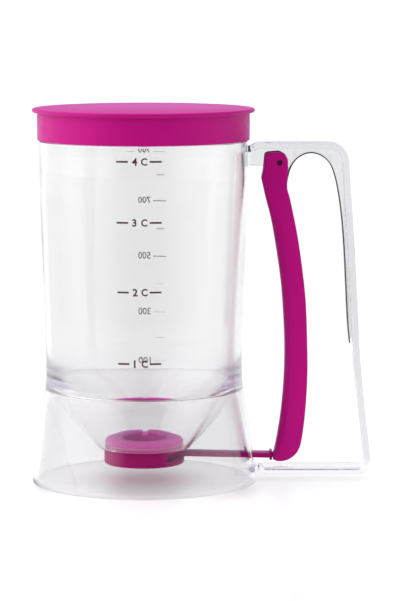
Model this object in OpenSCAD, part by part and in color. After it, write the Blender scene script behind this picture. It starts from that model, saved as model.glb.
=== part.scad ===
// Batter dispenser: a clear jug whose funnel floor empties through a slide valve,
// and a trigger inside the handle that pulls the valve open against a strip spring.
// Millimetres. The jug's axis is Z, the table is z = 0 and the handle points to +X.

/* [Jug wall] */
// Outer radius of the wall at the shoulder, just under the lid
wall_top_r = 51.3; // [51:0.1:51.6]
// Outer radius of the wall where it is narrowest, above the waist
wall_low_r = 48.6; // [48:0.1:48.8]
// Thickness of the jug's wall and skirt
wall_t = 2.4; // [2:0.1:2.6]
// Height at which the wall starts to widen
flare_z = 53; // [50:1:60]
// Height over which it widens
flare_h = 110; // [100:1:113]
// Height of the shoulder that the lid stops at
shoulder_z = 168.9; // [168.6:0.1:169]
// Outer radius of the rim above the shoulder
rim_r = 50.3; // [50:0.1:50.4]
// Thickness of the rim
rim_t = 1.9; // [1.5:0.1:2.1]
// Height of the rim's top edge
rim_z = 182.6; // [180:0.1:182.7]

/* [Funnel floor] */
// Height at which the wall starts to turn inwards
bowl_top_z = 65.3; // [65:0.1:66]
// Inner radius of the arc between the wall and the cone
bowl_r = 53.5; // [53:0.1:54]
// Slope of the cone, from the vertical
bowl_slope = 42; // [41:0.5:42.5]
// Thickness of the funnel
bowl_t = 1.6; // [1.4:0.1:1.7]
// Underside of the flat ring at the funnel's foot
floor_z = 16.6; // [16.5:0.1:16.7]
// Thickness of that flat ring
floor_t = 1.7; // [1.5:0.1:1.8]
// Radius of the hole in it
floor_hole_r = 16.2; // [16.1:0.1:16.4]

/* [Base skirt] */
// Outer radius at the waist, where skirt and jug meet
waist_r = 49.1; // [48.8:0.1:49.2]
// Height of the waist
waist_z = 46.5; // [46:0.1:48]
// Outer radius at the table
base_r = 55.8; // [55:0.1:57]
// Bow of the skirt's side, 1 for a straight cone
skirt_bow = 0.8; // [0.75:0.05:1]
// Half the width of the slot that the rod passes through
slot_half = 8; // [6:0.5:9]
// Height of that slot
slot_h = 6; // [5.5:0.1:6.4]

/* [Handle] */
// Width of the handle's band
band_w = 16; // [14:0.5:18]
// Thickness of the handle's band
band_t = 3.25; // [3:0.05:3.4]
// Top face of the band's upper bar
band_top_z = 168.4; // [168:0.1:168.6]
// Outer radius of the band's top corner
band_top_r = 10; // [8:0.5:11]
// Underside of the band's lower bar
band_low_z = 3.7; // [3:0.1:4.2]
// Outer radius of the band's bottom corner
band_low_r = 6; // [5:0.5:7]
// Thickness of the web inside the handle
web_t = 3; // [2.5:0.1:4]
// Underside of the web beside the jug
web_z = 156.4; // [156:0.1:157]
// Height at which the web runs out along the band
web_end_z = 70; // [66:1:90]
// Outer radius of the web's boss around the trigger pin
boss_r = 4; // [3:0.1:4]

/* [Lid] */
// Top face of the lid
lid_z = 184.8; // [184.8:0.1:186]
// Outer radius of the lid's rim
lid_r = 54.7; // [53.5:0.1:56]
// Thickness of the lid's top
lid_t = 1.9; // [1.2:0.1:1.9]
// Outer radius of the lid's skirt
lid_skirt_r = 52.2; // [52.1:0.1:53]
// Thickness of the lid's skirt and plug ring
lid_skirt_t = 1.4; // [1:0.1:1.4]
// Depth of the ring that plugs the jug's rim
plug_h = 7; // [5:0.5:12]

/* [Valve] */
// Radius of the seat's flange inside the funnel
seat_r = 19.5; // [18.5:0.1:20]
// Thickness of that flange
seat_t = 2.6; // [2:0.1:3]
// Radius of the opening that the batter runs through
seat_hole_r = 10.85; // [9:0.05:11]
// Radius of the spigot that passes through the floor
spigot_r = 16; // [15.8:0.1:16]
// Thickness of the gasket under the flange
gasket_t = 0.6; // [0.4:0.1:1]
// Outer radius of the valve housing
housing_r = 19.9; // [19.5:0.1:21]
// Underside of the valve housing
housing_z = 8.5; // [8:0.1:8.6]
// Radius of the outlet under the gate
outlet_r = 9; // [8:0.1:10]
// Height of the drip lip around the outlet
lip_h = 1.2; // [0.8:0.1:1.4]

/* [Gate and rod] */
// Height of the middle of the gate and its rod
gate_mid_z = 12.4; // [12.4:0.1:12.5]
// Thickness of the gate and its rod
gate_t = 2.3; // [2:0.1:2.3]
// Radius of the gate's round end, which is half its width
gate_r = 16; // [15:0.1:16]
// Where the gate's flat end meets its rod
gate_end_x = 15; // [14.5:0.1:15]
// Width of the rod
rod_w = 8.5; // [6:0.5:9]

/* [Trigger] */
// Width of the trigger across its two cheeks
lever_w = 14; // [13.5:0.5:15]
// Thickness of each cheek
cheek_t = 2.2; // [1.8:0.1:2.4]
// Thickness of the trigger's front wall
front_t = 2; // [1.6:0.1:2.1]
// Distance of the pin from the jug's axis
pin_x = 66.8; // [66.5:0.1:67]
// Height of the pin
pin_z = 158.3; // [158:0.1:158.5]
// Radius of the pin
pin_r = 1.3; // [1:0.05:1.5]
// Clearance between the pin and the cheeks
pin_gap = 0.06; // [0.02:0.01:0.1]
// Depth of the pin's ends inside the cheeks
pin_recess = 0.8; // [0.4:0.1:1.2]

/* [Return spring] */
// Width of the steel strip
strip_w = 7; // [5:0.5:8]
// Thickness of the steel strip
strip_t = 0.5; // [0.4:0.05:0.6]

/* [Hidden] */
$fn = 96;

clear_tint = [0.86, 0.86, 0.93, 0.45];
magenta = [0.68, 0.03, 0.43];
magenta_dark = [0.5, 0.02, 0.32];
soft_pink = [0.78, 0.35, 0.6];
steel = [0.62, 0.63, 0.64];
spring_steel = [0.3, 0.31, 0.31];

// Play between parts of one body that are assembled, and between bodies that move
fit = 0.1;
gap = 0.3;
// Overlap of a cutting shape past the face that it cuts
past = 1;

// ---- Curves -------------------------------------------------------------

function reverse(p) = [for (i = [len(p) - 1 : -1 : 0]) p[i]];

function arc(centre, r, from, to, steps = 12) =
    [for (i = [0 : steps]) let (a = from + (to - from) * i / steps) centre + r * [cos(a), sin(a)]];

function spline_point(a, b, c, d, t) =
    b + (c - a) * t / 2 + (2 * a - 5 * b + 4 * c - d) * t * t / 2
    + (3 * b - a - 3 * c + d) * t * t * t / 2;

// A smooth curve through the given points
function smooth(p, steps = 6) = concat(
    [for (i = [0 : len(p) - 2], j = [0 : steps - 1])
        spline_point(p[max(i - 1, 0)], p[i], p[i + 1], p[min(i + 2, len(p) - 1)], j / steps)],
    [p[len(p) - 1]]
);

function direction(p, i) =
    let (d = p[min(i + 1, len(p) - 1)] - p[max(i - 1, 0)]) d / norm(d);

// The curve moved sideways, to the left of its direction
function beside(p, distance) =
    [for (i = [0 : len(p) - 1]) let (d = direction(p, i)) p[i] + distance * [-d[1], d[0]]];

// The outline of a strip of thickness t whose middle is the curve
function ribbon(p, t) = concat(beside(p, t / 2), reverse(beside(p, -t / 2)));

function ease(u) = u * u * (3 - 2 * u);

// An outline in X and Z, extruded to a width centred on Y = 0
module plate(outline, width) {
    rotate([90, 0, 0])
        linear_extrude(width, center = true)
            polygon(outline);
}

// A block between two X values and two heights, centred on Y = 0
module block(from_x, to_x, wide, low, high) {
    translate([from_x, -wide / 2, low])
        cube([to_x - from_x, wide, high - low]);
}

// A ring between two radii and two heights
module ring(inner_r, outer_r, low, high) {
    difference() {
        translate([0, 0, low])
            cylinder(r = outer_r, h = high - low);
        translate([0, 0, low - past])
            cylinder(r = inner_r, h = high - low + 2 * past);
    }
}

// ---- Jug ----------------------------------------------------------------

function wall_r(z) = z > flare_z
    ? wall_low_r + (wall_top_r - wall_low_r) * ease(min((z - flare_z) / flare_h, 1))
    : wall_low_r + (waist_r - wall_low_r) * (flare_z - z) / (flare_z - waist_z);

wall_steps = 18;
wall_line = [for (i = [0 : wall_steps])
    let (z = bowl_top_z + (shoulder_z - bowl_top_z) * i / wall_steps) [wall_r(z), z]];

function skirt_r(z) = waist_r + (base_r - waist_r) * pow(1 - z / waist_z, skirt_bow);

skirt_steps = 14;
skirt_line = [for (i = [0 : skirt_steps]) let (z = waist_z * i / skirt_steps) [skirt_r(z), z]];

bowl_centre = [wall_r(bowl_top_z) - wall_t - bowl_r, bowl_top_z];
bowl_out_r = bowl_r + bowl_t;
bowl_out_stop = -asin((bowl_top_z - waist_z) / bowl_out_r);
cone_in = bowl_centre + bowl_r * [cos(bowl_slope), -sin(bowl_slope)];
cone_out = bowl_centre + bowl_out_r * [cos(bowl_slope), -sin(bowl_slope)];
floor_top_z = floor_z + floor_t;

rim_edge = 0.5;
shoulder_t = 3;
// Height over which the wall thins to the rim inside
shoulder_run = 1;

module container_wall() {
    color(clear_tint)
        rotate_extrude()
            polygon(concat(
                wall_line,
                [[rim_r, shoulder_z], [rim_r, rim_z - rim_edge], [rim_r - rim_edge, rim_z],
                 [rim_r - rim_t, rim_z], [rim_r - rim_t, shoulder_z - shoulder_t]],
                reverse([for (p = wall_line)
                    if (p[1] < shoulder_z - shoulder_t - shoulder_run) p - [wall_t, 0]])
            ));
}

// Where the cone that starts at a point comes down to a height
function cone_foot(top, z) = [top[0] - (top[1] - z) * tan(bowl_slope), z];

module hopper_bowl() {
    color(clear_tint)
        rotate_extrude()
            polygon(concat(
                [[floor_hole_r, floor_z], cone_foot(cone_out, floor_z)],
                arc(bowl_centre, bowl_out_r, -bowl_slope, bowl_out_stop, 10),
                [[waist_r, waist_z], [wall_r(flare_z), flare_z], [wall_r(bowl_top_z), bowl_top_z]],
                arc(bowl_centre, bowl_r, 0, -bowl_slope, 16),
                [cone_foot(cone_in, floor_top_z), [floor_hole_r, floor_top_z]]
            ));
}

module base_skirt() {
    color(clear_tint)
        difference() {
            rotate_extrude()
                polygon(concat(
                    skirt_line,
                    reverse([for (p = skirt_line) p - [wall_t, 0]])
                ));
            block(waist_r - wall_t, base_r + past, 2 * slot_half,
                gate_mid_z - slot_h / 2, gate_mid_z + slot_h / 2);
        }
}

// The jug and skirt as one filled solid, which trims what joins them outside
module jug_outside() {
    rotate_extrude()
        polygon(concat([[0, 0]], skirt_line, wall_line, [[0, shoulder_z]]));
}

// ---- Handle -------------------------------------------------------------

// The band's outer line runs from the jug along the top, down the back and along the bottom
band_back = [[102.1, 139.5], [103.8, 114], [105.2, 90], [106.5, 66], [108.9, 40], [111.1, 21]];
band_corner_x = 90.8;
band_foot_x = 106.35;
bar_top_z = band_top_z - band_t / 2;
bar_low_z = band_low_z + band_t / 2;
// The bars step down, or up, to the narrow necks that join them to the jug, and end inside it
neck_x = 52.3;
neck_drop = 1.9;
foot_neck_x = 57.1;
foot_rise = 0.5;
top_end_x = 46;
foot_end_x = 50;
// How far along X each bar takes to step to its neck
neck_run = 3.2;
foot_neck_run = 2.4;
band_mid = concat(
    [[top_end_x, bar_top_z - neck_drop], [neck_x, bar_top_z - neck_drop],
     [neck_x + neck_run, bar_top_z]],
    arc([band_corner_x, band_top_z - band_top_r], band_top_r - band_t / 2, 90, 4, 10),
    smooth([for (p = band_back) p - [band_t / 2, 0]], 3),
    arc([band_foot_x, band_low_z + band_low_r], band_low_r - band_t / 2, 6, -90, 10),
    [[foot_neck_x + foot_neck_run, bar_low_z], [foot_neck_x, bar_low_z + foot_rise],
     [foot_end_x, bar_low_z + foot_rise]]
);

notch_reach = 2.6;
notch_h = 24;
neck_half = 2.6;

// Two notches in plan that leave a narrow neck between a bar and the jug
module neck_notches(x, z) {
    for (side = [-1, 1])
        translate([x, 0, z])
            linear_extrude(height = notch_h, center = true)
                polygon([[-notch_reach, side * (band_w / 2 + past)], [0, side * neck_half],
                         [notch_reach, side * (band_w / 2 + past)]]);
}

module band_solid() {
    plate(ribbon(band_mid, band_t), band_w);
}

module handle_band() {
    color(clear_tint)
        difference() {
            band_solid();
            jug_outside();
            neck_notches(neck_x, bar_top_z);
            neck_notches(foot_neck_x, bar_low_z);
        }
}

// The web's lower edge runs from the jug, past the boss, to where the spring starts to lie on it
web_turn_x = 60.8;
boss_side = [-2.6, -3];
web_low = [[top_end_x, web_z], [web_turn_x, web_z], [pin_x, pin_z] + boss_side, [71.1, 153.5]];

module handle_web() {
    color(clear_tint)
        difference() {
            union() {
                plate(concat(
                    web_low,
                    [for (p = beside(spring_line, strip_t / 2)) if (p[1] > web_end_z && on_web(p)) p],
                    reverse([for (p = band_mid) if (p[1] > web_end_z) p])
                ), web_t);
                translate([pin_x, 0, pin_z])
                    rotate([90, 0, 0])
                        cylinder(r = boss_r, h = channel_w - 2 * gap, center = true);
            }
            band_solid();
            jug_outside();
            translate([pin_x, 0, pin_z])
                rotate([90, 0, 0])
                    cylinder(r = pin_r, h = lever_w, center = true);
        }
}

// ---- Lid ----------------------------------------------------------------

lid_under_z = lid_z - lid_t;
lid_foot_z = shoulder_z + gap;
lid_edge_r = 0.9;
lid_foot_r = 0.7;
plug_play = 0.5;
plug_r = rim_r - rim_t - plug_play;
plug_edge = 0.5;
plug_edge_h = 1;

module lid_cap() {
    color(magenta)
        rotate_extrude()
            polygon(concat(
                [[0, lid_under_z], [plug_r - lid_skirt_t, lid_under_z],
                 [plug_r - lid_skirt_t, lid_under_z - plug_h], [plug_r - plug_edge, lid_under_z - plug_h],
                 [plug_r, lid_under_z - plug_h + plug_edge_h], [plug_r, lid_under_z],
                 [lid_skirt_r - lid_skirt_t, lid_under_z], [lid_skirt_r - lid_skirt_t, lid_foot_z],
                 [lid_skirt_r, lid_foot_z], [lid_skirt_r, lid_under_z]],
                arc([lid_r - lid_foot_r, lid_under_z + lid_foot_r], lid_foot_r, -90, 0, 4),
                arc([lid_r - lid_edge_r, lid_z - lid_edge_r], lid_edge_r, 0, 90, 5),
                [[0, lid_z]]
            ));
}

// ---- Valve --------------------------------------------------------------

flange_z = floor_top_z + gasket_t;
seat_top_z = flange_z + seat_t;
gate_top_z = gate_mid_z + gate_t / 2;
gate_low_z = gate_mid_z - gate_t / 2;
chamber_top_z = gate_top_z + gap;
chamber_low_z = gate_low_z - gap;
spigot_z = chamber_top_z + gap;
seal_depth = 0.8;
seal_wall_t = 0.8;
seal_w = 2.4;
seal_top_z = spigot_z + seal_depth;
seal_in_r = seat_hole_r + seal_wall_t;
seal_out_r = seal_in_r + seal_w;
gasket_inset = 0.4;
seat_edge_r = 1.8;
hole_edge_r = 0.5;
housing_edge_r = 1;
lip_t = 1.4;

module valve_seat() {
    color(soft_pink)
        rotate_extrude()
            polygon(concat(
                [[seat_hole_r, spigot_z], [seal_in_r, spigot_z], [seal_in_r, seal_top_z],
                 [seal_out_r, seal_top_z], [seal_out_r, spigot_z], [spigot_r, spigot_z],
                 [spigot_r, flange_z], [seat_r, flange_z]],
                arc([seat_r - seat_edge_r, seat_top_z - seat_edge_r], seat_edge_r, 0, 90, 6),
                arc([seat_hole_r + hole_edge_r, seat_top_z - hole_edge_r], hole_edge_r, 90, 180, 4)
            ));
}

module neck_gasket() {
    color("white")
        ring(spigot_r, seat_r - gasket_inset, floor_top_z, flange_z);
}

module gate_seal() {
    color("white")
        ring(seal_in_r, seal_out_r, gate_top_z + fit, seal_top_z);
}

// The outline in plan of a plate with a round end at the axis and a straight run to +X
module tongue(r, end_x, low, high) {
    translate([0, 0, low]) {
        cylinder(r = r, h = high - low);
        translate([0, -r, 0])
            cube([end_x, 2 * r, high - low]);
    }
}

// The gate's straight sides stop where they would leave the round housing
gate_side_x = 11.5;
// The window that the gate and its rod leave by starts before that, under a thin lintel
window_x = gate_side_x - 1;
lintel_t = 1;

module valve_housing() {
    color(magenta)
        difference() {
            union() {
                rotate_extrude()
                    polygon(concat(
                        [[0, housing_z]],
                        arc([housing_r - housing_edge_r, housing_z + housing_edge_r],
                            housing_edge_r, -90, 0, 4),
                        [[housing_r, floor_z], [0, floor_z]]
                    ));
                translate([0, 0, housing_z - lip_h])
                    cylinder(r = outlet_r + lip_t, h = lip_h);
            }
            translate([0, 0, chamber_top_z])
                cylinder(r = spigot_r + fit / 2, h = floor_z - chamber_top_z + past);
            tongue(gate_r + gap, housing_r + past, chamber_low_z, chamber_top_z);
            block(window_x, housing_r + past, 2 * (gate_r + gap), chamber_low_z, floor_z - lintel_t);
            translate([0, 0, housing_z - lip_h - past])
                cylinder(r = outlet_r, h = chamber_low_z - housing_z + lip_h + 2 * past);
        }
}

module slide_gate() {
    color(magenta_dark)
        intersection() {
            tongue(gate_r, gate_side_x, gate_low_z, gate_top_z);
            block(-gate_r - past, gate_end_x, 2 * (gate_r + past), gate_low_z, gate_top_z);
        }
}

// ---- Rod ----------------------------------------------------------------

collar_x = 62.3;
collar_t = 1.3;
collar_h = 4.4;
hook_x = 67.5;
hook_t = 1.9;
hook_h = 5.4;
hook_w = 8;
rod_neck_w = 5;
// The rod steps up as it leaves the gate, and falls to the gate's height again in the collar
rod_step_x = 16.5;
rod_high_x = 20.5;
rod_rise = 0.8;
rod_mid = [[gate_end_x, gate_mid_z], [rod_step_x, gate_mid_z], [rod_high_x, gate_mid_z + rod_rise],
           [collar_x + collar_t / 2, gate_mid_z]];

module pull_rod() {
    color(magenta)
        union() {
            plate(ribbon(rod_mid, gate_t), rod_w);
            block(collar_x, collar_x + collar_t, rod_w,
                gate_mid_z - collar_h / 2, gate_mid_z + collar_h / 2);
            block(collar_x, hook_x + hook_t, rod_neck_w, gate_low_z, gate_top_z);
            block(hook_x, hook_x + hook_t, hook_w, gate_low_z, gate_low_z + hook_h);
        }
}

// ---- Trigger ------------------------------------------------------------

// The trigger's front edge from foot to brow, and its back edge from the head's round to the foot
lever_front = [[63.9, 10.9], [65.5, 19], [67.8, 34], [69.2, 50], [69.6, 66], [69, 82],
               [67.8, 98], [65.6, 114], [62.8, 130], [60, 141], [57.9, 150.4]];
lever_back = [[70.9, 158], [70.8, 151.6], [70.6, 145.7], [72.1, 140], [75.6, 123], [78, 107],
              [79.8, 91], [80.6, 73], [80.9, 54], [80, 36], [78.2, 21], [76.3, 15], [73, 11.6],
              [69.4, 10.1], [66, 10]];
channel_w = lever_w - 2 * cheek_t;
front_line = smooth(lever_front, 4);
lever_outline = concat(
    front_line,
    [[58.9, 155.7], [59.4, 161.3]],
    arc([61.3, 161.3], 1.9, 180, 97, 5),
    arc([65.9, 158.6], 5, 90, 0, 8),
    smooth(lever_back, 4)
);
fork_z = 155.6;
notch_x = 69;
notch_z = 14.5;
head_mid_x = 66;
// Planes in front of, behind, above and inside the head, for the cuts
before_x = 50;
behind_x = 90;
above_z = 170;
brow_x = 60.9;

module trigger_lever() {
    color(magenta)
        difference() {
            plate(lever_outline, lever_w);
            // the channel behind the front wall
            plate(concat(
                [[front_line[0][0] + front_t, 0]],
                [for (p = front_line) p + [front_t, 0]],
                [[brow_x, fork_z], [brow_x, above_z], [behind_x, above_z], [behind_x, 0]]
            ), channel_w);
            // the fork that straddles the web
            block(before_x, head_mid_x, channel_w, fork_z, above_z);
            // the notch that the rod's neck slides up into
            block(before_x, notch_x, rod_neck_w + 2 * gap, 0, notch_z);
            translate([pin_x, 0, pin_z])
                rotate([90, 0, 0])
                    cylinder(r = pin_r + pin_gap, h = lever_w + 2 * past, center = true);
        }
}

module trigger_pin() {
    color(steel)
        translate([pin_x, 0, pin_z])
            rotate([90, 0, 0])
                cylinder(r = pin_r, h = lever_w - 2 * pin_recess, center = true);
}

// ---- Return spring ------------------------------------------------------

spring_line = smooth([
    [65.8, 130], [67.6, 137], [69.9, 146], [71.7, 154.3], [74.4, 159.2], [78.1, 162],
    [82.1, 163], [85.9, 162.3], [89.3, 160.3], [92, 157], [93.8, 152.5], [95.4, 146], [96.9, 136.5],
    [98.1, 125.5], [99, 113], [99.7, 100], [100.3, 88], [101, 77], [101.9, 68.8]
], 4);

// The stretch of the spring that lies against the web's edge starts above the trigger's channel
function on_web(p) = p[0] > 71.6;

module return_spring() {
    color(spring_steel)
        plate(ribbon(spring_line, strip_t), strip_w);
}

container_wall();
hopper_bowl();
base_skirt();
handle_band();
handle_web();
lid_cap();
valve_seat();
neck_gasket();
gate_seal();
valve_housing();
slide_gate();
pull_rod();
trigger_lever();
trigger_pin();
return_spring();
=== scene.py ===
"""The looks of a batter dispenser: a clear jug, a magenta lid, trigger and valve, and a steel strip spring.

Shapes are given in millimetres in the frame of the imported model: the jug's axis is Z, the table is z = 0,
the handle points to +X and the cup scale faces -Y.
"""

import math

import bmesh
import bpy
from mathutils import Matrix, Vector


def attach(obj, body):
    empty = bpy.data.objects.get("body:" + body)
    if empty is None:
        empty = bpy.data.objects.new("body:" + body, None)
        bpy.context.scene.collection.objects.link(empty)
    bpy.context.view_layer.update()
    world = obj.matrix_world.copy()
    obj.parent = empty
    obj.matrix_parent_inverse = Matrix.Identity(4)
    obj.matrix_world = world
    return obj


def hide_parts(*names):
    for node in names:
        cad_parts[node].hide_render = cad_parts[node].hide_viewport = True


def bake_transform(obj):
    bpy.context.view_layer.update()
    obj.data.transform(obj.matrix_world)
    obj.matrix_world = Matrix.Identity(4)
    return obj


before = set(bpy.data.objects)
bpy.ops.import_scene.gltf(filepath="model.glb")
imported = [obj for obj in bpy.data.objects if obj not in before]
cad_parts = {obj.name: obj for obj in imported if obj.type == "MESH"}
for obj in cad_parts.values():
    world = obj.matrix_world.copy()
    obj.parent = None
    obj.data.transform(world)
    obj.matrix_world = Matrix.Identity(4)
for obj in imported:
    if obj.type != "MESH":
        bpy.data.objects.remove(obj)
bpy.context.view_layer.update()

MM = 0.001
SHARP = 35  # the least angle between faces, in degrees, that shades as an edge
SHARP_CLEAR = 30  # the same for the clear body
ROUND_LARGE, ROUND_SMALL, ROUND_ROD = 256, 160, 48  # faces round a turned piece

# ---- Dimensions, in millimetres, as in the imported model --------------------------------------

WALL_TOP_R = 51.3
WALL_LOW_R = 48.6
WALL_T = 2.4
FLARE_Z = 53
FLARE_H = 110
SHOULDER_Z = 168.9
RIM_R = 50.3
RIM_T = 1.9
RIM_Z = 182.6
RIM_LIP = WALL_TOP_R - WALL_T - (RIM_R - RIM_T)  # how far the wall's inside draws in below the rim

BOWL_TOP_Z = 65.3
BOWL_R = 53.5
BOWL_SLOPE = 42
BOWL_T = 1.6
FLOOR_Z = 16.6
FLOOR_T = 1.7
FLOOR_HOLE_R = 16.2

WAIST_R = 49.1
WAIST_Z = 46.5
GROOVE_R = 1.3
BASE_R = 55.8
SKIRT_BOW = 0.8

BAND_W = 16
BAND_T = 3.25
BAND_TOP_Z = 168.4
BAND_TOP_R = 10
BAND_LOW_Z = 3.7
BAND_LOW_R = 6
BAND_CORNER_X = 90.8
BAND_FOOT_X = 106.35
BAND_BACK = [(102.1, 139.5), (103.8, 114), (105.2, 90), (106.5, 66), (108.9, 40), (111.1, 21)]
NECK_X = 52.3
FOOT_NECK_X = 57.1
NECK_RUN = 2.4
FOOT_NECK_RUN = 2.3
NECK_HALF = 2.4
NECK_DROP = 1.9
WEB_T = 3
WEB_Z = 156.4
WEB_END_Z = 70

LID_Z = 184.8
LID_R = 54.7
LID_T = 1.9
LID_SKIRT_R = 52.2
LID_SKIRT_T = 1.4
PLUG_H = 7

SEAT_R = 19.5
SEAT_HOLE_R = 10.85
SPIGOT_R = 16
FLANGE_Z = 18.9
SEAT_TOP_Z = 21.5
SPIGOT_Z = 14.15
HOUSING_R = 19.9
HOUSING_Z = 8.5
OUTLET_R = 9
LIP_Z = 7.3
GATE_Z = 12.4
GATE_T = 2.3
GATE_R = 16
GATE_PLAY = 0.3
GATE_SIDE_X = 11.5
GATE_END_X = 15
ROD_W = 8.5
ROD_STEP_X, ROD_HIGH_X, ROD_RISE = 16.5, 20.5, 0.8
COLLAR_X = 62.3
COLLAR_T = 1.3
COLLAR_H = 4.4
HOOK_X = 67.5
HOOK_T = 1.9
HOOK_H = 5.4
HOOK_W = 8

LEVER_W = 14
CHEEK_T = 2.2
FRONT_T = 2
LEVER_EDGE_R = 0.9
FRONT_EDGE_R = 5.2
PIN_X = 66.8
PIN_Z = 158.3
PIN_R = 1.3
PIN_RECESS = 0.8
FORK_Z = 155.6
LEVER_FRONT = [
    (63.9, 10.9), (65.5, 19), (67.8, 34), (69.2, 50), (69.6, 66), (69, 82),
    (67.8, 98), (65.6, 114), (62.8, 130), (60, 141), (57.9, 150.4),
]
LEVER_BACK = [
    (70.9, 158), (70.8, 151.6), (70.6, 145.7), (72.1, 140), (75.6, 123), (78, 107), (79.8, 91),
    (80.6, 73), (80.9, 54), (80, 36), (78.2, 21), (76.3, 15), (73, 11.6), (69.4, 10.1), (66, 10),
]
SPRING_W = 7
SPRING_T = 0.5
SPRING_HOOK_X = 71.7
SPRING = [
    (65.8, 130), (67.6, 137), (69.9, 146), (SPRING_HOOK_X, 154.3), (74.4, 159.2), (78.1, 162),
    (82.1, 163), (85.9, 162.3), (89.3, 160.3), (92, 157), (93.8, 152.5), (95.4, 146), (96.9, 136.5),
    (98.1, 125.5), (99, 113), (99.7, 100), (100.3, 88), (101, 77), (101.9, 68.8),
]

# ---- Curves in a plane -----------------------------------------------------------------------


def arc(centre, radius, start, end, steps):
    """Points round part of a circle, between two angles in degrees."""
    angles = [math.radians(start + (end - start) * i / steps) for i in range(steps + 1)]
    return [(centre[0] + radius * math.cos(a), centre[1] + radius * math.sin(a)) for a in angles]


def smooth(points, steps):
    """A Catmull-Rom curve through the points."""
    p = [Vector(q) for q in points]
    out = []
    for i in range(len(p) - 1):
        a, b, c, d = p[max(i - 1, 0)], p[i], p[i + 1], p[min(i + 2, len(p) - 1)]
        for j in range(steps):
            t = j / steps
            q = b + (c - a) * t / 2 + (2 * a - 5 * b + 4 * c - d) * t * t / 2
            q += (3 * b - a - 3 * c + d) * t ** 3 / 2
            out.append((q.x, q.y))
    return out + [tuple(p[-1])]


def fillet(corners, steps=4):
    """A closed outline through (x, y, radius) corners, each rounded to its radius."""
    out = []
    for i, (x, y, radius) in enumerate(corners):
        here = Vector((x, y))
        if radius <= 0:
            out.append((x, y))
            continue
        back = (Vector(corners[i - 1][:2]) - here).normalized()
        on = (Vector(corners[(i + 1) % len(corners)][:2]) - here).normalized()
        half = back.angle(on) / 2
        centre = here + (back + on).normalized() * radius / math.sin(half)
        first = here + back * radius / math.tan(half) - centre
        last = here + on * radius / math.tan(half) - centre
        turn = first.angle_signed(last)
        for k in range(steps + 1):
            a = -turn * k / steps
            spoke = Matrix.Rotation(a, 2) @ first
            out.append(tuple(centre + spoke))
    return out


def direction(p, i):
    """The way a curve runs at its point i."""
    return (Vector(p[min(i + 1, len(p) - 1)]) - Vector(p[max(i - 1, 0)])).normalized()


def beside(p, distance):
    """The curve moved sideways, to the left of its direction."""
    out = []
    for i, q in enumerate(p):
        d = direction(p, i)
        out.append((q[0] - distance * d.y, q[1] + distance * d.x))
    return out


def ease(u):
    """From 0 to 1 with no corner at either end."""
    u = min(max(u, 0), 1)
    return u * u * (3 - 2 * u)


# ---- Meshes ----------------------------------------------------------------------------------


def new_object(name, data):
    obj = bpy.data.objects.new(name, data)
    bpy.context.scene.collection.objects.link(obj)
    return obj


def piece(name, verts, faces, sharp=SHARP):
    """An object from points in millimetres, with its normals outwards and its sharp edges kept."""
    mesh = bpy.data.meshes.new(name)
    mesh.from_pydata([Vector(v) * MM for v in verts], [], faces)
    obj = new_object(name, mesh)
    work = bmesh.new()
    work.from_mesh(mesh)
    bmesh.ops.remove_doubles(work, verts=work.verts, dist=1e-7)
    bmesh.ops.recalc_face_normals(work, faces=work.faces)
    work.to_mesh(mesh)
    work.free()
    shade(obj, sharp)
    return obj


def shade(obj, sharp=SHARP):
    obj.data.shade_smooth()
    obj.data.set_sharp_from_angle(angle=math.radians(sharp))


def lathe(name, outline, segments, sharp=SHARP):
    """A closed outline of (radius, height) points turned round Z."""
    verts, faces = [], []
    for radius, z in outline:
        for k in range(segments):
            a = 2 * math.pi * k / segments
            verts.append((radius * math.cos(a), radius * math.sin(a), z))
    rows = len(outline)
    for i in range(rows):
        low, high = i * segments, ((i + 1) % rows) * segments
        if outline[i][0] < 1e-6 and outline[(i + 1) % rows][0] < 1e-6:
            continue
        for k in range(segments):
            n = (k + 1) % segments
            faces.append((low + k, low + n, high + n, high + k))
    return piece(name, verts, faces, sharp)


def plate(name, outline, width, radius, steps=3):
    """An outline in X and Z, as wide as width along Y.

    Its edges are rounded to radius, which is one number or one for each point.
    """
    n = len(outline)
    radii = radius if isinstance(radius, list) else [radius] * n
    turn = sum(outline[i - 1][0] * outline[i][1] - outline[i][0] * outline[i - 1][1] for i in range(n))
    side = 1 if turn > 0 else -1
    inward = []
    for i in range(n):
        here = Vector(outline[i])
        a = (here - Vector(outline[i - 1])).normalized()
        b = (Vector(outline[(i + 1) % n]) - here).normalized()
        normal = Vector((-(a.y + b.y), a.x + b.x)).normalized() * side
        inward.append(normal / max(0.6, normal.dot(Vector((-a.y, a.x)) * side)))
    verts, faces = [], []
    rings = [(-1, k) for k in range(steps, -1, -1)] + [(1, k) for k in range(steps + 1)]
    for s, k in rings:
        a = math.radians(90) * k / steps
        for i in range(n):
            r = radii[i]
            q = Vector(outline[i]) + inward[i] * r * (1 - math.cos(a))
            verts.append((q.x, s * (width / 2 - r + r * math.sin(a)), q.y))
    for row in range(len(rings) - 1):
        for i in range(n):
            j = (i + 1) % n
            faces.append((row * n + i, row * n + j, (row + 1) * n + j, (row + 1) * n + i))
    faces.append(tuple(range(n)))
    faces.append(tuple(range((len(rings) - 1) * n, len(rings) * n)))
    return piece(name, verts, faces)


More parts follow.
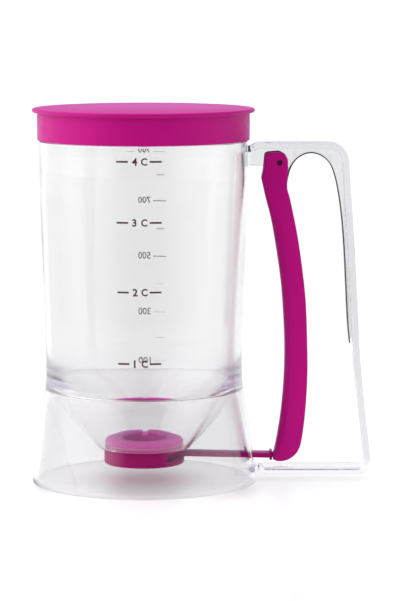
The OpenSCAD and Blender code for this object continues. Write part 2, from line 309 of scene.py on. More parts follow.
def strip(name, path, thickness, half_widths, corner, steps=3):
    """A flat strip along a path in X and Z, whose half width can change from point to point."""
    verts, faces = [], []
    corners = [(1, 1), (-1, 1), (-1, -1), (1, -1)]
    count = 4 * (steps + 1)
    for i, q in enumerate(path):
        d = direction(path, i)
        for c, (sy, sn) in enumerate(corners):
            for k in range(steps + 1):
                a = math.radians(90 * c + 90 * k / steps)
                y = sy * (half_widths[i] - corner) + corner * math.cos(a)
                n = sn * (thickness / 2 - corner) + corner * math.sin(a)
                verts.append((q[0] - n * d.y, y, q[1] + n * d.x))
    for i in range(len(path) - 1):
        for k in range(count):
            j = (k + 1) % count
            faces.append((i * count + k, i * count + j, (i + 1) * count + j, (i + 1) * count + k))
    faces.append(tuple(range(count)))
    faces.append(tuple(range((len(path) - 1) * count, len(path) * count)))
    return piece(name, verts, faces)


def block(name, low, high, radius=0.3):
    """A box between two corners with rounded edges."""
    (x0, y0, z0), (x1, y1, z1) = low, high
    corners = [(x0, z0, radius), (x1, z0, radius), (x1, z1, radius), (x0, z1, radius)]
    obj = plate(name, fillet(corners, 3), y1 - y0, radius)
    obj.data.transform(Matrix.Translation((0, (y0 + y1) / 2 * MM, 0)))
    return obj


def rod(name, x, z, radius, half):
    """A round bar along Y, centred on Y = 0, with slightly rounded ends."""
    edge = min(0.25, radius / 3)
    ends = arc((radius - edge, half - edge), edge, 0, 90, 3)
    outline = [(0, -half)] + [(r, -y) for r, y in reversed(ends)] + ends + [(0, half)]
    obj = lathe(name, outline, ROUND_ROD)
    obj.data.transform(Matrix.Translation((x * MM, 0, z * MM)) @ Matrix.Rotation(math.pi / 2, 4, "X"))
    return obj


def combine(target, other, operation):
    """Joins other to target, or cuts it out, and removes other."""
    change = target.modifiers.new("solid", "BOOLEAN")
    change.object = other
    change.operation = operation
    change.solver = "MANIFOLD"
    bpy.context.view_layer.update()
    graph = bpy.context.evaluated_depsgraph_get()
    mesh = bpy.data.meshes.new_from_object(target.evaluated_get(graph))
    target.modifiers.clear()
    target.data = mesh
    bpy.data.objects.remove(other)
    shade(target)


def cut(target, other):
    combine(target, other, "DIFFERENCE")


def join(target, other):
    combine(target, other, "UNION")


# ---- Materials -------------------------------------------------------------------------------


class Nodes:
    """A short way to write a material's nodes."""

    def __init__(self, name):
        self.material = bpy.data.materials.new(name)
        self.material.use_nodes = True
        self.tree = self.material.node_tree
        self.shader = self.tree.nodes["Principled BSDF"]
        self.output = self.tree.nodes["Material Output"]
        self.place = self.add("ShaderNodeTexCoord").outputs["Object"]

    def add(self, kind, **values):
        node = self.tree.nodes.new(kind)
        for key, value in values.items():
            setattr(node, key, value)
        return node

    def link(self, a, b):
        self.tree.links.new(a, b)

    def set(self, **values):
        """Sets the shader's own sockets."""
        for key, value in values.items():
            self.shader.inputs[key.replace("_", " ")].default_value = value

    def noise(self, scale, detail, stretch=None):
        """Noise over the object, scale in waves per metre."""
        node = self.add("ShaderNodeTexNoise")
        node.inputs["Scale"].default_value = scale
        node.inputs["Detail"].default_value = detail
        place = self.place
        if stretch:
            mapping = self.add("ShaderNodeMapping")
            mapping.inputs["Scale"].default_value = stretch
            self.link(place, mapping.inputs["Vector"])
            place = mapping.outputs["Vector"]
        self.link(place, node.inputs["Vector"])
        return node.outputs["Fac"]

    def span(self, value, low, high, start=0.3, end=0.7):
        """A value that runs from start to end, made to run from low to high."""
        node = self.add("ShaderNodeMapRange")
        self.link(value, node.inputs["Value"])
        node.inputs["From Min"].default_value = start
        node.inputs["From Max"].default_value = end
        node.inputs["To Min"].default_value = low
        node.inputs["To Max"].default_value = high
        return node.outputs["Result"]

    def ramp(self, value, stops):
        """Colours along a value, given as (value, colour) stops."""
        node = self.add("ShaderNodeValToRGB")
        self.link(value, node.inputs["Fac"])
        elements = node.color_ramp.elements
        while len(elements) < len(stops):
            elements.new(0.5)
        for element, (where, colour) in zip(elements, stops):
            element.position = where
            element.color = (*colour, 1)
        return node.outputs["Color"]

    def mix(self, share, a, b):
        node = self.add("ShaderNodeMix", data_type="RGBA")
        self.link(share, node.inputs["Factor"])
        for socket, colour in ((node.inputs[6], a), (node.inputs[7], b)):
            if isinstance(colour, tuple):
                socket.default_value = (*colour, 1)
            else:
                self.link(colour, socket)
        return node.outputs[2]

    def math(self, operation, a, b):
        node = self.add("ShaderNodeMath", operation=operation)
        self.link(a, node.inputs[0])
        self.link(b, node.inputs[1])
        return node.outputs["Value"]

    def along(self, axis):
        """The place along X, Y or Z."""
        node = self.add("ShaderNodeSeparateXYZ")
        self.link(self.place, node.inputs["Vector"])
        return node.outputs[axis]

    def length(self, vector):
        node = self.add("ShaderNodeVectorMath", operation="LENGTH")
        self.link(vector, node.inputs[0])
        return node.outputs["Value"]

    def from_axis(self):
        """The distance from the jug's axis."""
        flat = self.add("ShaderNodeVectorMath", operation="MULTIPLY")
        flat.inputs[1].default_value = (1, 1, 0)
        self.link(self.place, flat.inputs[0])
        return self.length(flat.outputs["Vector"])

    def bump(self, height, strength, distance, under=None):
        node = self.add("ShaderNodeBump")
        node.inputs["Strength"].default_value = strength
        node.inputs["Distance"].default_value = distance
        self.link(height, node.inputs["Height"])
        if under:
            self.link(under, node.inputs["Normal"])
        return node.outputs["Normal"]


# How the clear parts tint what is seen through them: painted shade and light, darker on the skirt and the
# handle's bars and lighter on the funnel and the handle's foot, for how bright each looks under this light
FUNNEL_LIGHT_TINT = (1, 1, 1)
JUG_TINT = (0.9, 0.902, 0.899)
SKIRT_SHADE_TINT = (0.833, 0.83, 0.838)
HANDLE_FOOT_LIGHT_TINT = (0.97, 0.975, 1)
HANDLE_SHADE_TINT = (0.772, 0.785, 0.79)


def clear_plastic():
    """Clear moulded plastic, with slow waves from the mould and a violet cast through its thick places."""
    n = Nodes("clear_plastic")
    n.set(IOR=1.5, Transmission_Weight=1)
    z = n.along("Z")
    # painted shade and light: below the waist the funnel is tinted lighter than the skirt round it, and the
    # handle is tinted lighter at its foot than along its bars
    below = n.ramp(n.span(n.from_axis(), 0, 1, 0.0453, 0.0465), [(0, FUNNEL_LIGHT_TINT), (1, SKIRT_SHADE_TINT)])
    handle = n.ramp(n.span(z, 0, 1, 0.006, 0.012), [(0, HANDLE_FOOT_LIGHT_TINT), (1, HANDLE_SHADE_TINT)])
    body = n.mix(n.span(z, 1, 0, 0.0445, 0.0475), JUG_TINT, below)
    n.link(n.mix(n.span(n.along("X"), 0, 1, 0.0515, 0.053), body, handle), n.shader.inputs["Base Color"])
    # the waist, where the two halves meet, is slightly frosted
    frost = n.math("MULTIPLY", n.span(z, 0, 0.35, 0.044, 0.052), n.span(z, 0.35, 0, 0.058, 0.067))
    n.link(n.math("ADD", n.span(n.noise(420, 4), 0.012, 0.045), frost), n.shader.inputs["Roughness"])
    n.link(n.bump(n.noise(38, 1, stretch=(1, 1, 0.45)), 0.25, 0.0006), n.shader.inputs["Normal"])
    depth = n.add("ShaderNodeVolumeAbsorption")
    depth.inputs["Color"].default_value = (0.5, 0.25, 0.85, 1)
    depth.inputs["Density"].default_value = 4
    n.link(depth.outputs["Volume"], n.output.inputs["Volume"])
    return n.material


def moulded_plastic(name, colour, sheen=0.9, gloss=0.5, dull_top=False, painted_rim_glow=0):
    """Opaque moulded plastic with a slight flow variation and a fine spark-eroded grain.

    dull_top makes the lid's top duller than its side, and painted_rim_glow gives the outside of the valve's
    seat
    a pink glow: painted light for the light that does not reach it inside the funnel.
    """
    n = Nodes(name)
    dark = tuple(c * 0.94 for c in colour)
    light = tuple(min(1, c * 1.05 + 0.002) for c in colour)
    flow = n.noise(40, 3, stretch=(1, 1, 0.35))
    n.link(n.ramp(flow, [(0.3, dark), (0.7, light)]), n.shader.inputs["Base Color"])
    rough = n.span(n.noise(260, 4), 0.45, 0.56)
    if dull_top:
        top = n.span(n.along("Z"), 0, 1, 0.1838, 0.1846)
        rough = n.math("ADD", rough, n.span(top, 0, 0.25, 0, 1))
        n.link(n.span(top, sheen, 0.3, 0, 1), n.shader.inputs["Sheen Weight"])
    if painted_rim_glow:
        # painted light: a pink glow round the outside of the valve's seat
        n.link(n.span(n.from_axis(), 0, painted_rim_glow, 0.012, 0.0185), n.shader.inputs["Emission Strength"])
        n.set(Emission_Color=(1, 0.25, 0.6, 1))
    n.link(rough, n.shader.inputs["Roughness"])
    fine = n.bump(n.noise(5200, 2), 0.125, 0.00003)
    n.link(n.bump(n.noise(70, 2), 0.12, 0.0005, fine), n.shader.inputs["Normal"])
    n.set(IOR=1.45, Specular_IOR_Level=gloss, Specular_Tint=(1, 0.2, 1, 1))
    n.set(Sheen_Weight=sheen, Sheen_Roughness=0.22, Sheen_Tint=(0.55, 0.4, 1, 1))
    return n.material


def steel(name, colour, roughness):
    """Rolled steel with fine lines along the strip."""
    n = Nodes(name)
    lines = n.noise(900, 3, stretch=(1, 6, 1))
    dark = tuple(c * 0.75 for c in colour)
    n.link(n.ramp(lines, [(0.3, dark), (0.7, colour)]), n.shader.inputs["Base Color"])
    n.link(n.span(lines, roughness - 0.06, roughness + 0.08), n.shader.inputs["Roughness"])
    n.link(n.bump(lines, 0.2, 0.00003), n.shader.inputs["Normal"])
    n.set(Metallic=1)
    return n.material


def silicone():
    n = Nodes("clear_silicone")
    # painted light: the clear seals are coloured pink for the pink light of the magenta parts round them
    n.link(n.ramp(n.noise(300, 2), [(0.3, (0.9, 0.4, 0.7)), (0.7, (0.95, 0.48, 0.76))]),
           n.shader.inputs["Base Color"])
    n.link(n.span(n.noise(900, 2), 0.3, 0.4), n.shader.inputs["Roughness"])
    # a painted pink glow, for light that does not reach the seals between the parts
    n.set(IOR=1.41, Transmission_Weight=0.3, Emission_Color=(0.9, 0.25, 0.6, 1), Emission_Strength=0.2)
    return n.material


def ink(name, colour):
    """Screen-printed ink, slightly uneven."""
    n = Nodes(name)
    thin = tuple(min(1, c * 1.5 + 0.01) for c in colour)
    n.link(n.ramp(n.noise(1500, 3), [(0.35, colour), (0.8, thin)]), n.shader.inputs["Base Color"])
    n.link(n.span(n.noise(2500, 2), 0.4, 0.6), n.shader.inputs["Roughness"])
    return n.material


CLEAR = clear_plastic()
DEEP_PINK = (0.475, 0.001, 0.184)
MAGENTA = moulded_plastic("magenta_plastic", DEEP_PINK)
LID_MAGENTA = moulded_plastic("lid_plastic", DEEP_PINK, dull_top=True)
# the valve housing: the same magenta plastic made lighter, painted light for the shade it sits in inside
# the skirt
LIT_VALVE_MAGENTA = moulded_plastic("lit_valve_plastic", (0.54, 0, 0.195), sheen=1, gloss=0.12)
# the valve seat: a paler pink than the other magenta parts, made paler still and given a pink glow round
# its outside, painted light for the dim light inside the funnel
PALE_LIT_MAGENTA = moulded_plastic("pale_lit_magenta_plastic", (0.99, 0.02, 0.62), painted_rim_glow=0.25)
# the pin's steel is darkened and tinted pink: painted shade of its recess in the lever and a painted pink
# reflection of the lever
SHADED_PIN_STEEL = steel("pin_steel", (0.07, 0.035, 0.055), 0.4)
SPRING_STEEL = steel("spring_steel", (0.06, 0.06, 0.055), 0.35)
PINK_LIT_SILICONE = silicone()
CUP_INK = ink("cup_ink", (0.05, 0.006, 0.014))
ML_INK = ink("ml_ink", (0.42, 0.17, 0.24))
TICK_INK = ink("tick_ink", (0.33, 0.33, 0.33))


def finish_piece(obj, material, body, stands_for=()):
    obj.data.materials.clear()
    obj.data.materials.append(material)
    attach(obj, body)
    if stands_for:
        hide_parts(*stands_for)


# ---- The clear body --------------------------------------------------------------------------


def wall_r(z):
    """The wall's outer radius: a soft flare to the top, and a slight one down to the waist."""
    if z > FLARE_Z:
        return WALL_LOW_R + (WALL_TOP_R - WALL_LOW_R) * ease((z - FLARE_Z) / FLARE_H)
    return WALL_LOW_R + (WAIST_R - WALL_LOW_R) * (FLARE_Z - z) / (FLARE_Z - WAIST_Z)


def skirt_r(z):
    """The skirt's outer radius, from the foot up to the waist."""
    return WAIST_R + (BASE_R - WAIST_R) * (1 - z / WAIST_Z) ** SKIRT_BOW


def cone_foot(centre, radius, z):
    """Where the cone below an arc of that radius comes down to a height."""
    slope = math.radians(BOWL_SLOPE)
    top = centre[0] + radius * math.cos(slope), centre[1] - radius * math.sin(slope)
    return top[0] - (top[1] - z) * math.tan(slope), z


def bowl_corner(foot, radius):
    """A rounded corner between the cone above its foot and the flat ring inside it."""
    slope = math.radians(BOWL_SLOPE)
    far = 3 * radius
    ends = [(foot[0] + far * math.sin(slope), foot[1] + far * math.cos(slope), 0), (*foot, radius),
            (foot[0] - far, foot[1], 0)]
    return fillet(ends)[1:-1]


def jug_outline():
    """The jug's section, from the foot up the outside, over the rim and down the inside."""
    foot = 0.5
    skirt_z = [foot + (WAIST_Z - foot) * i / 22 for i in range(22)]
    wall_z = [WAIST_Z + (SHOULDER_Z - 0.5 - WAIST_Z) * i / 44 for i in range(1, 45)]
    inner_z = [z for z in wall_z if BOWL_TOP_Z + 1 < z < SHOULDER_Z - 1]
    bowl = (wall_r(BOWL_TOP_Z) - WALL_T - BOWL_R, BOWL_TOP_Z)
    out_r = BOWL_R + BOWL_T
    groove = (WAIST_R - WALL_T - 1.05, WAIST_Z - 1.2)
    stop = -math.degrees(math.asin((BOWL_TOP_Z - groove[1]) / out_r))
    out = [(BASE_R - WALL_T + foot, 0), (BASE_R - foot, 0), (BASE_R - 0.15, 0.15)]
    out += [(skirt_r(z), z) for z in skirt_z]
    out += [(WAIST_R, WAIST_Z)]
    # points close to each rounded edge keep the shading of the long faces beside it flat
    out += [(wall_r(z), z) for z in wall_z[:-1] + [SHOULDER_Z - 0.8, SHOULDER_Z - 0.6]]
    out += arc((wall_r(SHOULDER_Z) - 0.4, SHOULDER_Z - 0.4), 0.4, 30, 90, 3)
    out += [(RIM_R, SHOULDER_Z), (RIM_R, RIM_Z - 0.8)]
    out += arc((RIM_R - 0.6, RIM_Z - 0.6), 0.6, 0, 90, 4)
    out += arc((RIM_R - RIM_T + 0.6, RIM_Z - 0.6), 0.6, 90, 180, 4)
    out += [(RIM_R - RIM_T, RIM_Z - 0.8), (RIM_R - RIM_T, SHOULDER_Z)]
    out += [(wall_r(z) - WALL_T - RIM_LIP * ease((z - SHOULDER_Z + 25) / 25), z) for z in reversed(inner_z)]
    floor_top = FLOOR_Z + FLOOR_T
    out += arc(bowl, BOWL_R, 0, -BOWL_SLOPE, 22)
    out += bowl_corner(cone_foot(bowl, BOWL_R, floor_top), 1)
    out += [(FLOOR_HOLE_R + 0.3, floor_top), (FLOOR_HOLE_R, floor_top - 0.3)]
    out += [(FLOOR_HOLE_R, FLOOR_Z + 0.3), (FLOOR_HOLE_R + 0.3, FLOOR_Z)]
    out += bowl_corner(cone_foot(bowl, out_r, FLOOR_Z), 1.2)[::-1]
    out += arc(bowl, out_r, -BOWL_SLOPE, stop, 14)
    out += arc(groove, GROOVE_R, 165, 10, 10)
    out += [(skirt_r(z) - WALL_T, z) for z in reversed(skirt_z[1:-1])]
    return out


def band_path():
    """The middle of the handle's strip, from the jug over the top and down to the skirt."""
    bar_top = BAND_TOP_Z - BAND_T / 2
    bar_low = BAND_LOW_Z + BAND_T / 2
    top = smooth([(49.3, bar_top - NECK_DROP - 0.1), (50.5, bar_top - NECK_DROP),
                  (53.2, bar_top - NECK_DROP * 0.8), (56, bar_top), (60, bar_top)], 4)
    top += [(x, bar_top) for x in range(64, 90, 4)]
    corner = arc((BAND_CORNER_X, BAND_TOP_Z - BAND_TOP_R), BAND_TOP_R - BAND_T / 2, 90, 4, 14)
    back = smooth([(x - BAND_T / 2, z) for x, z in BAND_BACK], 6)
    foot = arc((BAND_FOOT_X, BAND_LOW_Z + BAND_LOW_R), BAND_LOW_R - BAND_T / 2, 6, -90, 12)
    low = [(x, bar_low) for x in range(102, 62, -5)]
    low += smooth([(61, bar_low), (59.2, bar_low), (FOOT_NECK_X, bar_low + 0.6), (53, bar_low + 0.5)], 4)
    return top + corner + back + foot + low


def band_half_width(x, z):
    """Full width along the band, and a narrow neck at each end where it meets the jug."""
    neck, reach = (NECK_X, NECK_RUN) if z > WAIST_Z else (FOOT_NECK_X, FOOT_NECK_RUN)
    share = min(abs(x - neck) / reach, 1)
    return NECK_HALF + (BAND_W / 2 - NECK_HALF) * share ** 0.8


def clear_body():
    jug = lathe("clear_body", jug_outline(), ROUND_LARGE, SHARP_CLEAR)
    # the rod passes through the skirt
    cut(jug, block("slot", (46, -8, GATE_Z - 3), (62, 8, GATE_Z + 3), 1.2))
    path = band_path()
    widths = [band_half_width(x, z) for x, z in path]
    band = strip("band", path, BAND_T, widths, 0.55)
    # the web fills the space between the spring and the band
    line = smooth(SPRING, 6)
    edge = [p for p in beside(line, SPRING_T / 2) if p[1] > WEB_END_Z and p[0] > SPRING_HOOK_X - 0.1]
    back = [p for p in path if p[1] > WEB_END_Z and p[0] > 60]
    web = [(49.4, WEB_Z), (PIN_X - 6, WEB_Z), (PIN_X - 2.6, PIN_Z - 3), (SPRING_HOOK_X - 0.6, 153.5)]
    web += edge + back[::-1] + [(56, BAND_TOP_Z - BAND_T / 2), (49.4, 165)]
    join(band, plate("web", web, WEB_T, 0.3))
    join(band, rod("boss", PIN_X, PIN_Z, 4, LEVER_W / 2 - CHEEK_T - 0.3))
    cut(band, rod("pin_bore", PIN_X, PIN_Z, PIN_R, LEVER_W))
    join(jug, band)
    shade(jug, SHARP_CLEAR)
    finish_piece(jug, CLEAR, "jug",
                 ("container_wall", "hopper_bowl", "base_skirt", "handle_band", "handle_web"))


# ---- Lid -------------------------------------------------------------------------------------


def lid():
    """The press-on lid, with its skirt outside the rim and a plug ring inside it."""
    under = LID_Z - LID_T
    plug_r = RIM_R - RIM_T - 0.5
    skirt_in = LID_SKIRT_R - LID_SKIRT_T
    corners = [
        (0, under, 0), (plug_r - LID_SKIRT_T, under, 0.5), (plug_r - LID_SKIRT_T, under - PLUG_H, 0.4),
        (plug_r - 0.4, under - PLUG_H, 0.3), (plug_r, under - PLUG_H + 1, 0.4), (plug_r, under, 0.3),
        (skirt_in, under, 0.3), (skirt_in, SHOULDER_Z + 0.3, 0.4), (LID_SKIRT_R, SHOULDER_Z + 0.3, 0.5),
        (LID_SKIRT_R, under, 0.5), (LID_R, under, 0.75), (LID_R, LID_Z, 0.9), (0, LID_Z, 0),
    ]
    cap = lathe("lid", fillet(corners, 4), ROUND_LARGE)
    finish_piece(cap, LID_MAGENTA, "lid", ("lid_cap",))


# ---- Valve, gate and rod ---------------------------------------------------------------------


def valve_seat():
    """The ring in the funnel's floor, with its key groove."""
    groove_in, groove_out = SEAT_HOLE_R + 0.8, SEAT_HOLE_R + 3.2
    corners = [
        (SEAT_HOLE_R, SPIGOT_Z, 0.2), (groove_in, SPIGOT_Z, 0.1), (groove_in, SPIGOT_Z + 0.8, 0),
        (groove_out, SPIGOT_Z + 0.8, 0), (groove_out, SPIGOT_Z, 0.2), (SPIGOT_R, SPIGOT_Z, 0.3),
        (SPIGOT_R, FLANGE_Z, 0), (SEAT_R, FLANGE_Z, 0.3), (SEAT_R, SEAT_TOP_Z, 1.9),
        (SEAT_HOLE_R, SEAT_TOP_Z, 0.6),
    ]
    seat = lathe("valve_ring", fillet(corners, 5), ROUND_SMALL)
    cut(seat, block("key_groove", (-1.5, SEAT_HOLE_R - 0.8, SEAT_TOP_Z - 1.1),
                    (1.5, SEAT_R + 1, SEAT_TOP_Z + 1), 0.5))
    finish_piece(seat, PALE_LIT_MAGENTA, "jug", ("valve_seat",))


def tongue(name, radius, end_x, low, high):
    """A disc in plan with a straight run to +X."""
    corner = math.degrees(math.acos(min(end_x / radius, 1)))
    outline = arc((0, 0), radius, 90, 270, 40) + [(end_x, -radius)]
    outline += arc((0, 0), radius, -corner, corner, 20) if end_x < radius else []
    outline += [(end_x, radius)]
    obj = plate(name, outline, high - low, 0.25)
    turn = Matrix.Translation((0, 0, (low + high) / 2 * MM)) @ Matrix.Rotation(-math.pi / 2, 4, "X")
    obj.data.transform(turn)
    return obj


def valve_housing():
    chamber_low, chamber_high = GATE_Z - GATE_T / 2 - GATE_PLAY, GATE_Z + GATE_T / 2 + GATE_PLAY
    chamber_r = GATE_R + GATE_PLAY
    top, bore = FLOOR_Z - 0.05, SPIGOT_R + 0.05
    corners = [
        (OUTLET_R, LIP_Z, 0.3), (OUTLET_R + 1.4, LIP_Z, 0.4), (OUTLET_R + 1.4, HOUSING_Z, 0.4),
        (HOUSING_R, HOUSING_Z, 1), (HOUSING_R, top, 0.4), (bore, top, 0.3), (bore, chamber_high, 0),
        (chamber_r, chamber_high, 0), (chamber_r, chamber_low, 0), (OUTLET_R, chamber_low, 0.3),
    ]
    housing = lathe("valve_cup", fillet(corners, 4), ROUND_SMALL)
    past = HOUSING_R + 2
    # thousandths keep the cuts' faces from lying in one plane
    cut(housing, tongue("slot", chamber_r, past, chamber_low + 0.001, chamber_high - 0.001))
    window = tongue("window", bore, past, chamber_low + 0.002, FLOOR_Z - 1)
    side = SPIGOT_R + 1
    cut(window, block("window_limit", (-side, -side, 0), (GATE_SIDE_X - 1, side, FLOOR_Z), 0))
    cut(housing, window)
    finish_piece(housing, LIT_VALVE_MAGENTA, "jug", ("valve_housing",))


def gate_and_rod():
    low, high = GATE_Z - GATE_T / 2, GATE_Z + GATE_T / 2
    gate = tongue("gate_plate", GATE_R, GATE_SIDE_X, low, high)
    cut(gate, block("gate_flat", (GATE_END_X, -GATE_R, low - 1), (GATE_R + 1, GATE_R, high + 1)))
    finish_piece(gate, MAGENTA, "gate", ("slide_gate",))
    middle = [(GATE_END_X - 0.2, GATE_Z), (ROD_STEP_X, GATE_Z), (ROD_HIGH_X, GATE_Z + ROD_RISE)]
    middle += [(COLLAR_X + COLLAR_T / 2, GATE_Z)]
    shaft = strip("gate_rod", middle, GATE_T, [ROD_W / 2] * 4, 0.45)
    join(shaft, block("collar", (COLLAR_X, -ROD_W / 2, GATE_Z - COLLAR_H / 2),
                    (COLLAR_X + COLLAR_T, ROD_W / 2, GATE_Z + COLLAR_H / 2), 0.4))
    # a hair thinner than the rod, so that their faces don't lie in one plane
    join(shaft, block("neck", (COLLAR_X + 0.3, -2.5, low + 0.01), (HOOK_X + 0.5, 2.5, high - 0.01), 0.3))
    join(shaft, block("hook", (HOOK_X, -HOOK_W / 2, low), (HOOK_X + HOOK_T, HOOK_W / 2, low + HOOK_H), 0.4))
    finish_piece(shaft, MAGENTA, "gate", ("pull_rod",))


# ---- Trigger, pin and spring -----------------------------------------------------------------


def lever_outline():
    """The trigger's side view, up its front and down its back, and how many points are its front's."""
    front = smooth(LEVER_FRONT, 5)
    brow = smooth([LEVER_FRONT[-1], (58.9, 155.7), (59.4, 161.3)], 3)[1:]
    head = arc((61.3, 161.3), 1.9, 172, 97, 5) + arc((65.9, 158.6), 5, 90, 4, 10)
    back = smooth(LEVER_BACK, 5)
    return front + brow + head + back, len(front) + len(brow)


def trigger():
    """The lever, hollow from behind and rounder in front, and the pin it turns on."""
    outline, front_count = lever_outline()
    radii = [LEVER_EDGE_R] * len(outline)
    for i in range(front_count):
        z = outline[i][1]
        radii[i] += (FRONT_EDGE_R - LEVER_EDGE_R) * ease((z - 12) / 10) * ease((150 - z) / 30)
    lever = plate("trigger_body", outline, LEVER_W, radii, 7)
    inner = LEVER_W - 2 * CHEEK_T
    front = [(x + FRONT_T, z) for x, z in smooth(LEVER_FRONT, 5)]
    channel = [(LEVER_FRONT[0][0] + FRONT_T, 2)] + front + [(60.9, FORK_Z), (60.9, 170), (92, 170), (92, 2)]
    cut(lever, plate("channel", channel, inner, 0.5))
    # room for the boss on the web, and for the rod's neck
    cut(lever, block("fork", (50, -inner / 2, FORK_Z), (66, inner / 2, 170), 0.5))
    cut(lever, block("notch", (60, -2.8, 2), (69, 2.8, 14.5), 0.4))
    cut(lever, rod("bore", PIN_X, PIN_Z, PIN_R + 0.06, LEVER_W))
    finish_piece(lever, MAGENTA, "trigger", ("trigger_lever",))
    pin = rod("hinge_pin", PIN_X, PIN_Z, PIN_R, LEVER_W / 2 - PIN_RECESS)
    finish_piece(pin, SHADED_PIN_STEEL, "jug", ("trigger_pin",))


def spring():
    path = smooth(SPRING, 8)
    obj = strip("leaf_spring", path, SPRING_T, [SPRING_W / 2] * len(path), 0.14, 2)
    obj.data.materials.append(SPRING_STEEL)
    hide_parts("return_spring")
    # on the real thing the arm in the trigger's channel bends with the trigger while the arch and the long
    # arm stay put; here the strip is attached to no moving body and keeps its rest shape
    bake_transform(obj)


# ---- Printed scales --------------------------------------------------------------------------

INK_LIFT = 0.03
INK_T = 0.05
BAR_STEPS = 6
FRONT, BACK = -1, 1
# Cups and the height of their mark
CUP_MARKS = ((4, 161.9), (3, 132.85), (2, 99.4), (1, 64.8))
# Millilitres, the height of the mark, how thick it prints and how far its digits stand above it
ML_MARKS = ((900, 160.6, 0.12, 1.2), (700, 135.0, 0.45, 0.6), (500, 106.6, 0.42, 0.35),
            (300, 78.0, 0.14, 0.35), (100, 52.4, 0.1, 0.35))
# The short ticks between them: millilitres, height and thickness
ML_TICKS = ((800, 149.7, 0.3), (600, 120.6, 0.36), (400, 92.4, 0.14), (200, 64.8, 0.2))


def wrapped(name, verts, faces, side, material):
    """A flat print of (across, height) points, wrapped on the jug's wall as a thin closed shell."""
    shell = []
    for lift in (INK_LIFT, INK_LIFT + INK_T):
        for across, z in verts:
            r, a = wall_r(z) + lift, across / wall_r(z)
            shell.append(Vector((-side * r * math.sin(a), side * r * math.cos(a), z)) * MM)
    edges = {(f[i - 1], f[i]) for f in faces for i in range(len(f))}
    rim = sorted((a, b) for a, b in edges if (b, a) not in edges)
    n = len(verts)
    closed = [f[::-1] for f in faces] + [tuple(i + n for i in f) for f in faces]
    closed += [(a, b, b + n, a + n) for a, b in rim]
    mesh = bpy.data.meshes.new(name)
    mesh.from_pydata(shell, [], closed)
    finish_piece(new_object(name, mesh), material, "jug")


def glyphs(name, text, left, middle_z, height, side, material, weight, width=None):
    """Plain characters, drawn with Blender's own font to a height in millimetres."""
    curve = bpy.data.curves.new(name, "FONT")
    curve.body = text
    curve.resolution_u = 3
    curve.offset = weight
    maker = new_object(name, curve)
    bpy.context.view_layer.update()
    graph = bpy.context.evaluated_depsgraph_get()
    flat = bpy.data.meshes.new_from_object(maker.evaluated_get(graph))
    bpy.data.objects.remove(maker)
    xs = [v.co.x for v in flat.vertices]
    ys = [v.co.y for v in flat.vertices]
    tall = height / (max(ys) - min(ys))
    wide = width / (max(xs) - min(xs)) if width else tall
    verts = [(left + (v.co.x - min(xs)) * wide, middle_z + (v.co.y - (max(ys) + min(ys)) / 2) * tall)
             for v in flat.vertices]
    faces = [tuple(p.vertices) for p in flat.polygons]
    bpy.data.meshes.remove(flat)
    wrapped(name, verts, faces, side, material)


def bar(name, left, right, z, thick, side, material):
    """A short printed line, as a grid that follows the wall."""
    n = BAR_STEPS
    verts = [(left + (right - left) * i / n, z + thick * (j / n - 0.5))
             for j in range(n + 1) for i in range(n + 1)]
    starts = [j * (n + 1) + i for j in range(n) for i in range(n)]
    wrapped(name, verts, [(k, k + 1, k + n + 2, k + n + 1) for k in starts], side, material)


def scales():
    """Cups in front, and millilitres behind, which read right from the back."""
    for cups, z in CUP_MARKS:
        wide = wall_r(z) / WALL_TOP_R
        left = -4.5 * wide + (0.4 if cups == 1 else 0)
        glyphs(f"cup_{cups}", str(cups), left, z, 3.7, FRONT, CUP_INK, 0.03)
        glyphs(f"cup_{cups}_unit", "C", -0.2 * wide, z, 3.6, FRONT, CUP_INK, 0.028, 3)
        bar(f"cup_{cups}_left", -12.1 * wide, -6.4 * wide, z, 0.85, FRONT, CUP_INK)
        bar(f"cup_{cups}_right", 3.9 * wide, 9.7 * wide, z, 0.85, FRONT, CUP_INK)
    for volume, z, thick, lift in ML_MARKS:
        glyphs(f"ml_{volume}", str(volume), -2.5, z + lift, 3.6, BACK, ML_INK, 0.01, 6.5)
        bar(f"ml_{volume}_tick", -10.7, -3.8, z, thick, BACK, TICK_INK)
    bar("ml_900_left", 5.8, 9.8, 160.6, 0.14, BACK, TICK_INK)
    for volume, z, thick in ML_TICKS:
        bar(f"ml_{volume}_tick", -9.9, -5.6, z, thick, BACK, TICK_INK)


# ---- Studio ----------------------------------------------------------------------------------

TABLE_HALF = 9.0
# Light painted on the table by its own glow, at shares of the way from 1 m in front of the part to 3 m
# behind it: brightest just in front of the part, where it fills in the part's shadows, and dark far in
# front
TABLE_PAINTED_LIGHT = [
    (0.08, 0), (0.175, 0.32), (0.19, 0.44), (0.232, 0.53), (0.243, 0.41), (0.25, 0.41), (0.31, 0.29),
    (0.4, 0.215), (0.7, 0.26),
]
TABLE_GREY = (0.52, 0.52, 0.525)
# the table's colour under the valve: a painted pink bounce of the valve's light
TABLE_PAINTED_PINK = (0.68, 0.47, 0.56)
ROOM_DIM = 0.1
ROOM_BRIGHT = 1.02
# Soft bright patches of the room: their direction, where they start and are full, and how bright
ROOM_PATCHES = [
    ((-0.5, 0, 1), 0.6, 0.95, 0.45), ((-0.88, -0.2, 0.48), 0.45, 1, 2.8),
    ((0.88, -0.2, 0.5), 0.45, 1, 1.35), ((-0.85, 0.45, 0.3), 0.3, 1, 1.5),
]


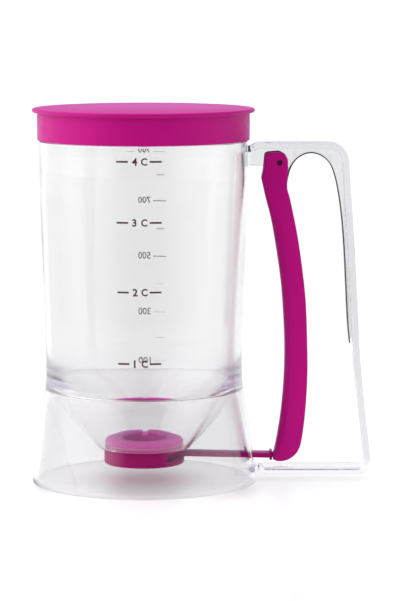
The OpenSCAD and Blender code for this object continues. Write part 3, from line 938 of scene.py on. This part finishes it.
def table():
    """A white table whose own light is painted on: brighter round the part to fill in its shadows, with a
    painted shadow and a painted pink bounce of light under the valve.
    """
    n = Nodes("table_white")
    n.set(IOR=1.35)
    n.link(n.span(n.noise(6, 3), 0.22, 0.24), n.shader.inputs["Roughness"])
    # painted light: the table's own glow along Y
    glow = n.ramp(n.span(n.along("Y"), 0, 1, -1, 3), [(where, (g, g, g)) for where, g in TABLE_PAINTED_LIGHT])
    n.link(glow, n.shader.inputs["Emission Color"])
    away = n.length(n.place)
    # painted shadow: the table's own light is dimmer under the valve
    n.link(n.span(away, 0.4, 1, 0.009, 0.036), n.shader.inputs["Emission Strength"])
    # painted pink bounce of light from the valve, on the table under it
    n.link(n.ramp(n.span(away, 0, 1, 0.009, 0.031), [(0, TABLE_PAINTED_PINK), (1, TABLE_GREY)]),
           n.shader.inputs["Base Color"])
    mesh = bpy.data.meshes.new("table")
    corners = [(x * TABLE_HALF, y * TABLE_HALF, 0) for x, y in ((-1, -1), (1, -1), (1, 1), (-1, 1))]
    mesh.from_pydata(corners, [], [(0, 1, 2, 3)])
    mesh.materials.append(n.material)
    new_object("table", mesh)


def room():
    """A white room that is dimmer in front, with soft bright patches at the sides and above."""
    world = bpy.data.worlds.new("studio")
    bpy.context.scene.world = world
    world.use_nodes = True
    tree = world.node_tree
    sky = tree.nodes["Background"]
    sky.inputs["Color"].default_value = (1, 1, 1, 1)
    place = tree.nodes.new("ShaderNodeTexCoord")

    def towards(heading, start, end, bright):
        along = tree.nodes.new("ShaderNodeVectorMath")
        along.operation = "DOT_PRODUCT"
        along.inputs[1].default_value = Vector(heading).normalized()
        tree.links.new(place.outputs["Generated"], along.inputs[0])
        ramp = tree.nodes.new("ShaderNodeMapRange")
        ramp.interpolation_type = "SMOOTHSTEP"
        tree.links.new(along.outputs["Value"], ramp.inputs["Value"])
        for socket, value in (("From Min", start), ("From Max", end),
                              ("To Min", ROOM_DIM), ("To Max", bright)):
            ramp.inputs[socket].default_value = value
        return ramp.outputs["Result"]

    light = towards((-0.4, 0.9, 0), -0.6, 0.45, ROOM_BRIGHT)
    for patch in ROOM_PATCHES:
        both = tree.nodes.new("ShaderNodeMath")
        both.operation = "MAXIMUM"
        tree.links.new(light, both.inputs[0])
        tree.links.new(towards(*patch), both.inputs[1])
        light = both.outputs["Value"]
    tree.links.new(light, sky.inputs["Strength"])


def top_light():
    """A soft lamp above the part."""
    light = bpy.data.lights.new("top", "AREA")
    light.shape = "RECTANGLE"
    light.size = light.size_y = 1.0
    light.energy = 1.3
    new_object("top", light).location = (0.0, 0.1, 1.3)


def camera():
    """The photograph's place: slightly right of the jug's axis and a little above it, with a long lens."""
    data = bpy.data.cameras.new("camera")
    data.sensor_fit = "VERTICAL"
    data.sensor_height = 36
    data.lens = 163.2
    data.clip_start, data.clip_end = 0.05, 20
    cam = new_object("camera", data)
    cam.location = (0.028, -1.339, 0.2535)
    looks_down = 6.98
    cam.rotation_euler = (math.radians(90 - looks_down), 0, 0)
    bpy.context.scene.camera = cam


def render_colours():
    """Plain colours, and enough bounces for the reflections inside the clear plastic."""
    scene = bpy.context.scene
    scene.view_settings.view_transform = "Standard"
    scene.cycles.use_denoising = True
    scene.cycles.max_bounces = scene.cycles.transmission_bounces = scene.cycles.glossy_bounces = 40


clear_body()
lid()
valve_seat()
valve_housing()
gate_and_rod()
trigger()
spring()
scales()
# the two seals show as the solids they are
for name in ("neck_gasket", "gate_seal"):
    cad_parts[name].data.materials.clear()
    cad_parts[name].data.materials.append(PINK_LIT_SILICONE)
table()
room()
top_light()
camera()
render_colours()
